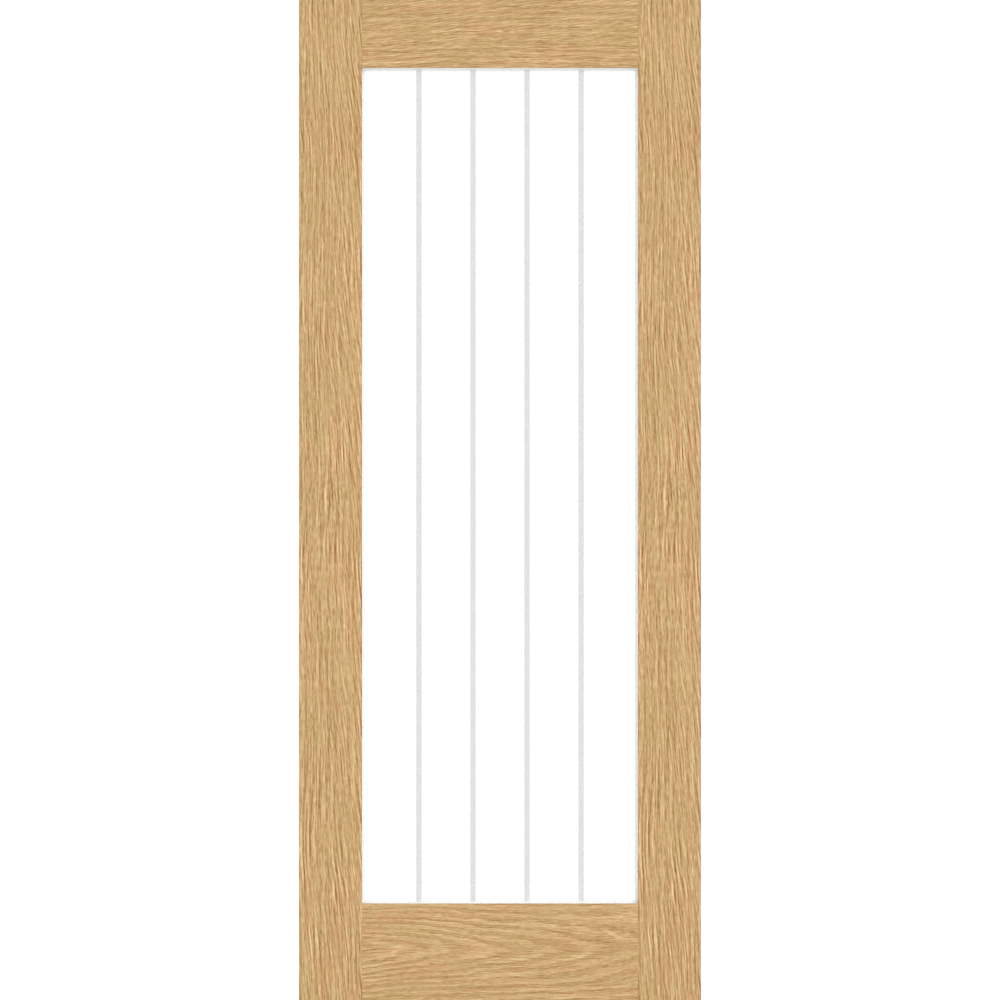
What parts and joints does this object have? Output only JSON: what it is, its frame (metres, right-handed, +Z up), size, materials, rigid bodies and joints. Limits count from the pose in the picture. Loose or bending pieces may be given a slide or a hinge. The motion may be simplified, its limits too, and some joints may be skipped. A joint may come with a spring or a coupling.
{
  "type": "glazed interior door leaf",
  "caption": "Oak-faced interior door leaf: wide stiles, a deeper bottom rail and one tall clear pane with frosted vertical lines, beaded at the back, to be hung on hinges in a frame.",
  "frame": {"origin": "on the hinge edge, at the foot of the leaf, in the middle of its thickness", "axes": "+Z up the leaf, +X across it from the hinge edge to the lock edge, -Y out of the front"},
  "size_m": [0.813, 0.035, 2.032],
  "materials": {
    "oak_veneer": "satin lacquer",
    "oak_lipping": "satin lacquer",
    "oak_bead": "satin lacquer",
    "softwood_core": "sawn",
    "fibreboard": "matt",
    "clear_glass": "polished",
    "glazing_seal": "satin"
  },
  "bodies": {
    "root": {"hinge_stile_core": "softwood_core", "hinge_stile_front_crossband": "fibreboard", "hinge_stile_back_crossband": "fibreboard", "hinge_stile_edge_lipping": "oak_lipping", "hinge_stile_glazing_lipping": "oak_lipping", "hinge_stile_front_veneer": "oak_veneer", "hinge_stile_back_veneer": "oak_veneer", "lock_stile_core": "softwood_core", "lock_stile_front_crossband": "fibreboard", "lock_stile_back_crossband": "fibreboard", "lock_stile_edge_lipping": "oak_lipping", "lock_stile_glazing_lipping": "oak_lipping", "lock_stile_front_veneer": "oak_veneer", "lock_stile_back_veneer": "oak_veneer", "top_rail_core": "softwood_core", "top_rail_front_crossband": "fibreboard", "top_rail_back_crossband": "fibreboard", "top_rail_edge_lipping": "oak_lipping", "top_rail_glazing_lipping": "oak_lipping", "top_rail_front_veneer": "oak_veneer", "top_rail_back_veneer": "oak_veneer", "bottom_rail_core": "softwood_core", "bottom_rail_front_crossband": "fibreboard", "bottom_rail_back_crossband": "fibreboard", "bottom_rail_edge_lipping": "oak_lipping", "bottom_rail_glazing_lipping": "oak_lipping", "bottom_rail_front_veneer": "oak_veneer", "bottom_rail_back_veneer": "oak_veneer", "glass_pane": "clear_glass", "front_glazing_seal": "glazing_seal", "back_glazing_seal": "glazing_seal", "top_bead": "oak_bead", "bottom_bead": "oak_bead", "hinge_side_bead": "oak_bead", "lock_side_bead": "oak_bead"}
  },
  "joints": []
}
